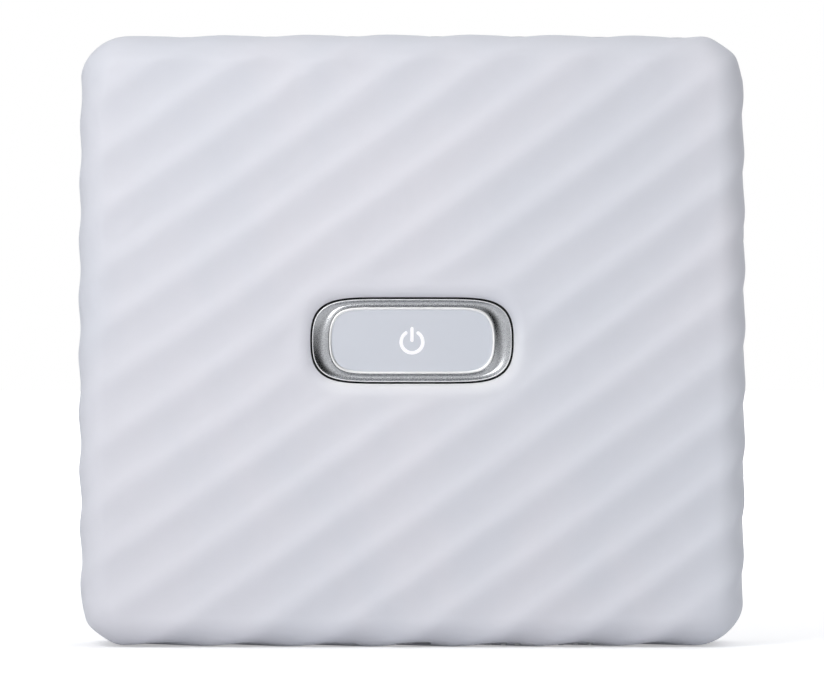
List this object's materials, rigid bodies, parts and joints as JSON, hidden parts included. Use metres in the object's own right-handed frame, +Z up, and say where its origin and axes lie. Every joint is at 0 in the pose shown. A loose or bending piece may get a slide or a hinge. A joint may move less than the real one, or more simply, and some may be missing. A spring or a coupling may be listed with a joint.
{
  "type": "instant photo printer",
  "caption": "Flat upright instant-film photo printer with a wave-textured front, central power button, top print slot and hinged rear film door.",
  "frame": {"origin": "middle of the base: centre of the width and depth, at the underside", "axes": "+X to the right seen from the front, +Y towards the rear film door, +Z up"},
  "size_m": [0.139, 0.0338, 0.1275],
  "materials": {
    "pearl_case": "smooth pearl-white moulding, light satin, diagonal wave relief on the front",
    "case_inside": "black inside moulding",
    "black_plastic": "light-tight black plastic, fine spark texture",
    "satin_silver": "satin vacuum-plated ring",
    "button_pearl": "bluish pearl-grey plate",
    "white_print": "white pad print",
    "steel": "machined or stamped steel",
    "spring_steel": "bent spring strip and drawn wire",
    "gear_plastic": "natural acetal",
    "seal_foam": "black light-seal felt and foam",
    "yellow_mark": "yellow film loading mark",
    "roller_steel": "ground steel roller",
    "clear_lens": "clear moulded lens",
    "smoke_window": "smoked window",
    "green_board": "solder mask",
    "chip_black": "moulded packages",
    "flex_amber": "polyimide flex",
    "battery_foil": "laminated foil pouch",
    "tape": "foam adhesive tape",
    "red_lead": "insulated leads",
    "motor_can": "plated motor can",
    "nickel": "plated port shell",
    "light_pipe": "frosted light pipes"
  },
  "bodies": {
    "root": {"front_shell": "pearl_case", "rear_shell": "pearl_case", "case_screws": "steel", "film_exit_trim": "black_plastic", "exit_light_seal": "seal_foam", "chamber_frame": "black_plastic", "chassis_screws": "steel", "door_light_seal": "seal_foam", "loading_mark": "yellow_mark", "drive_side_plate": "steel", "idle_side_plate": "steel", "gear_axles": "steel", "bearing_springs": "spring_steel", "drive_motor": "motor_can", "motor_screws": "steel", "claw_spring": "spring_steel", "print_head_housing": "black_plastic", "print_head_lens": "clear_lens", "print_head_board": "green_board", "print_head_flex": "flex_amber", "main_board": "green_board", "board_screws": "steel", "board_components": "chip_black", "power_switch": "chip_black", "battery_cell": "battery_foil", "battery_tape": "tape", "battery_leads": "red_lead", "motor_leads": "red_lead", "usb_port": "nickel", "usb_contact_tongue": "chip_black", "film_counter_light_pipes": "light_pipe", "button_springs": "spring_steel", "hinge_pins": "steel"},
    "power_button": {"button_bezel": "satin_silver", "button_plate": "button_pearl", "power_symbol": "white_print", "button_plunger": "case_inside"},
    "side_button": {"side_button": "pearl_case"},
    "reset_button": {"reset_button": "black_plastic"},
    "film_door": {"film_door": "pearl_case", "film_window": "smoke_window", "pressure_springs": "spring_steel"},
    "pressure_plate": {"pressure_plate": "black_plastic"},
    "door_lock": {"door_lock_slider": "black_plastic"},
    "rear_roller": {"rear_roller": "roller_steel", "rear_roller_gear": "gear_plastic"},
    "roller_carriage": {"roller_bearings": "gear_plastic"},
    "front_roller": {"front_roller": "roller_steel", "front_roller_gear": "gear_plastic"},
    "compound_gear": {"compound_gear": "gear_plastic"},
    "idler_gear": {"idler_gear": "gear_plastic"},
    "motor_shaft": {"motor_pinion": "gear_plastic"},
    "claw_crank": {"claw_crank_gear": "gear_plastic"},
    "claw": {"claw_slider": "steel"}
  },
  "joints": [
    {"name": "power_button_press", "type": "slide", "parent": "root", "child": "power_button", "axis": [0, 1, 0], "range_m": [0, 0.0008], "stiffness_N_per_m": 900, "springref_m": -0.0004, "deforming": ["button_springs"]},
    {"name": "side_button_press", "type": "slide", "parent": "root", "child": "side_button", "axis": [-1, 0, 0], "range_m": [0, 0.0006], "stiffness_N_per_m": 600, "springref_m": -0.0002},
    {"name": "reset_button_press", "type": "slide", "parent": "root", "child": "reset_button", "axis": [0, 0, 1], "range_m": [0, 0.0003], "stiffness_N_per_m": 600, "springref_m": -0.0001},
    {"name": "film_door_hinge", "type": "hinge", "parent": "root", "child": "film_door", "pos_m": [0.0645, 0.0152, 0.056], "axis": [0, 0, -1], "range_deg": [0, 100]},
    {"name": "pressure_plate_slide", "type": "slide", "parent": "film_door", "child": "pressure_plate", "axis": [0, 1, 0], "range_m": [0, 0.0007], "stiffness_N_per_m": 400, "springref_m": -0.0005, "deforming": ["pressure_springs"]},
    {"name": "door_lock_slide", "type": "slide", "parent": "film_door", "child": "door_lock", "axis": [-1, 0, 0], "range_m": [0, 0.0026]},
    {"name": "rear_roller_spin", "type": "hinge", "parent": "root", "child": "rear_roller", "pos_m": [0, 0.00015, 0.1132], "axis": [1, 0, 0], "continuous": true},
    {"name": "roller_carriage_slide", "type": "slide", "parent": "root", "child": "roller_carriage", "axis": [0, -1, 0], "range_m": [0, 0.0004], "stiffness_N_per_m": 2500, "springref_m": -0.0006, "deforming": ["bearing_springs"]},
    {"name": "front_roller_spin", "type": "hinge", "parent": "roller_carriage", "child": "front_roller", "pos_m": [0, -0.00875, 0.1132], "axis": [1, 0, 0], "continuous": true},
    {"name": "compound_gear_spin", "type": "hinge", "parent": "root", "child": "compound_gear", "pos_m": [-0.064, -0.0015, 0.1065], "axis": [1, 0, 0], "continuous": true},
    {"name": "idler_gear_spin", "type": "hinge", "parent": "root", "child": "idler_gear", "pos_m": [-0.064, 0.00951, 0.10894], "axis": [1, 0, 0], "continuous": true},
    {"name": "motor_shaft_spin", "type": "hinge", "parent": "root", "child": "motor_shaft", "pos_m": [-0.064, 0.01, 0.1154], "axis": [1, 0, 0], "continuous": true},
    {"name": "claw_crank_spin", "type": "hinge", "parent": "root", "child": "claw_crank", "pos_m": [-0.064, -0.0015, 0.09322], "axis": [1, 0, 0], "continuous": true},
    {"name": "claw_slide", "type": "slide", "parent": "root", "child": "claw", "axis": [0, 0, 1], "range_m": [0, 0.007], "stiffness_N_per_m": 60, "springref_m": -0.004, "deforming": ["claw_spring"]}
  ],
  "couplings": [
    {"joint": "front_roller_spin", "follows": "rear_roller_spin", "ratio": -1},
    {"joint": "compound_gear_spin", "follows": "rear_roller_spin", "ratio": -1.8333},
    {"joint": "idler_gear_spin", "follows": "rear_roller_spin", "ratio": 3.3},
    {"joint": "motor_shaft_spin", "follows": "rear_roller_spin", "ratio": -5.5},
    {"joint": "claw_crank_spin", "follows": "rear_roller_spin", "ratio": 2.2}
  ]
}
